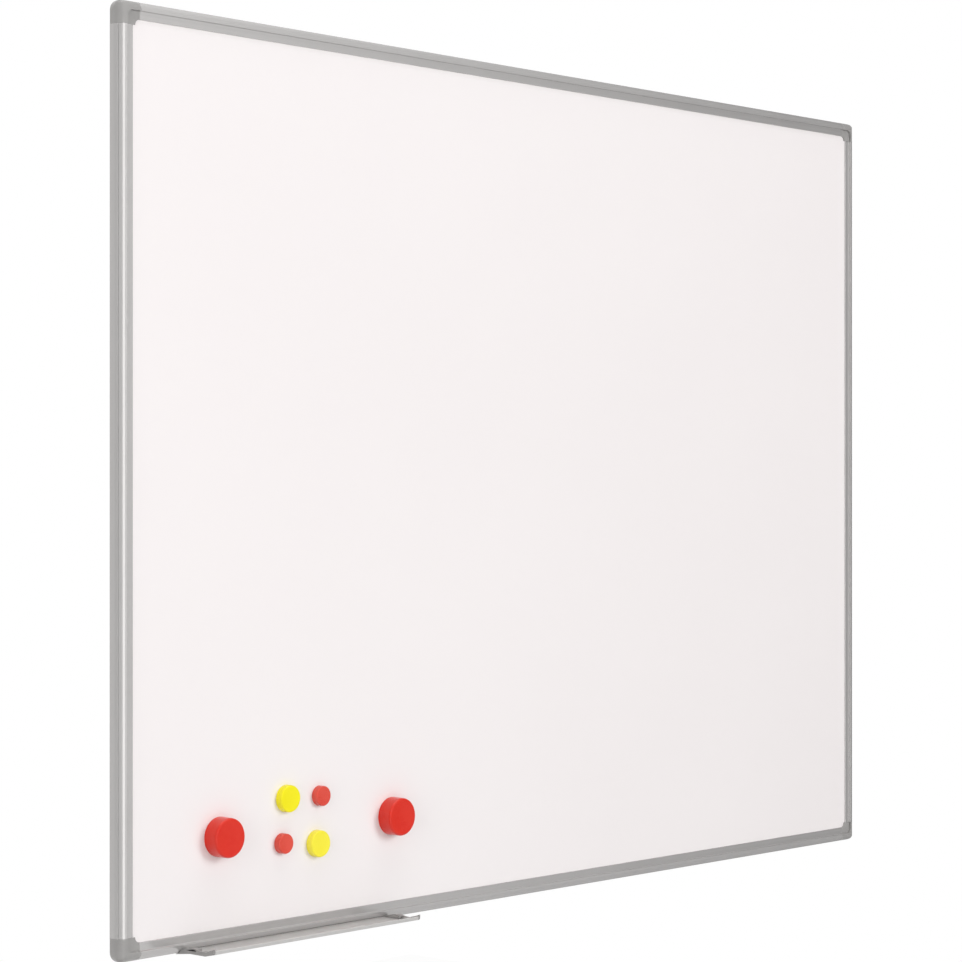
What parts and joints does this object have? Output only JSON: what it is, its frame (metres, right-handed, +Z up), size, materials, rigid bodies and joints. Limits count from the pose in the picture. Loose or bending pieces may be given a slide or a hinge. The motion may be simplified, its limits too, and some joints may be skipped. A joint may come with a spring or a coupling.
{
  "type": "magnetic whiteboard",
  "caption": "Wall-hung magnetic whiteboard in a slim aluminium frame with moulded corner caps, a sliding pen tray under the lower rail and round magnets on its face.",
  "frame": {"origin": "in the plane of the wall, behind the middle of the board", "axes": "+X along the board to the viewer's right, +Y into the wall, +Z up; the writing face looks along -Y"},
  "size_m": [1.2, 0.0604, 0.9007],
  "materials": {
    "writing_steel": "smooth glossy white lacquer on steel",
    "core_board": "pressed wood-fibre board",
    "zinc_steel": "zinc-coated sheet, dull",
    "aluminium": "satin natural anodised extrusion",
    "grey_plastic": "fine-textured grey moulding",
    "screw_steel": "zinc-plated",
    "bracket_steel": "zinc-plated bent strip",
    "magnet_red": "smooth red moulding",
    "magnet_yellow": "smooth yellow moulding",
    "ferrite": "dull dark grey sintered disc"
  },
  "bodies": {
    "wall_brackets": {"hanging_bracket_left": "bracket_steel", "hanging_bracket_right": "bracket_steel"},
    "board": {"writing_sheet": "writing_steel", "core_panel": "core_board", "back_sheet": "zinc_steel", "top_rail": "aluminium", "bottom_rail": "aluminium", "left_stile": "aluminium", "right_stile": "aluminium", "corner_cap_lower_left": "grey_plastic", "corner_cap_lower_right": "grey_plastic", "corner_cap_upper_left": "grey_plastic", "corner_cap_upper_right": "grey_plastic", "corner_screw_lower_left_rail": "screw_steel", "corner_screw_lower_left_stile": "screw_steel", "corner_screw_lower_right_rail": "screw_steel", "corner_screw_lower_right_stile": "screw_steel", "corner_screw_upper_left_rail": "screw_steel", "corner_screw_upper_left_stile": "screw_steel", "corner_screw_upper_right_rail": "screw_steel", "corner_screw_upper_right_stile": "screw_steel"},
    "tray": {"pen_tray": "aluminium", "tray_end_left": "grey_plastic", "tray_end_right": "grey_plastic"},
    "magnet_large_left": {"magnet_large_left_cap": "magnet_red", "magnet_large_left_disc": "ferrite"},
    "magnet_large_right": {"magnet_large_right_cap": "magnet_red", "magnet_large_right_disc": "ferrite"},
    "magnet_medium_upper": {"magnet_medium_upper_cap": "magnet_yellow", "magnet_medium_upper_disc": "ferrite"},
    "magnet_medium_lower": {"magnet_medium_lower_cap": "magnet_yellow", "magnet_medium_lower_disc": "ferrite"},
    "magnet_small_upper": {"magnet_small_upper_cap": "magnet_red", "magnet_small_upper_disc": "ferrite"},
    "magnet_small_lower": {"magnet_small_lower_cap": "magnet_red", "magnet_small_lower_disc": "ferrite"}
  },
  "joints": [
    {"name": "board_lift", "type": "slide", "parent": "wall_brackets", "child": "board", "axis": [0, 0, 1], "range_m": [0, 0.004]},
    {"name": "tray_slide", "type": "slide", "parent": "board", "child": "tray", "axis": [1, 0, 0], "range_m": [-0.05, 0.816]},
    {"name": "magnet_large_left_pull", "type": "slide", "parent": "board", "child": "magnet_large_left", "axis": [0, -1, 0], "range_m": [0, 0.1]},
    {"name": "magnet_large_right_pull", "type": "slide", "parent": "board", "child": "magnet_large_right", "axis": [0, -1, 0], "range_m": [0, 0.1]},
    {"name": "magnet_medium_upper_pull", "type": "slide", "parent": "board", "child": "magnet_medium_upper", "axis": [0, -1, 0], "range_m": [0, 0.1]},
    {"name": "magnet_medium_lower_pull", "type": "slide", "parent": "board", "child": "magnet_medium_lower", "axis": [0, -1, 0], "range_m": [0, 0.1]},
    {"name": "magnet_small_upper_pull", "type": "slide", "parent": "board", "child": "magnet_small_upper", "axis": [0, -1, 0], "range_m": [0, 0.1]},
    {"name": "magnet_small_lower_pull", "type": "slide", "parent": "board", "child": "magnet_small_lower", "axis": [0, -1, 0], "range_m": [0, 0.1]}
  ]
}
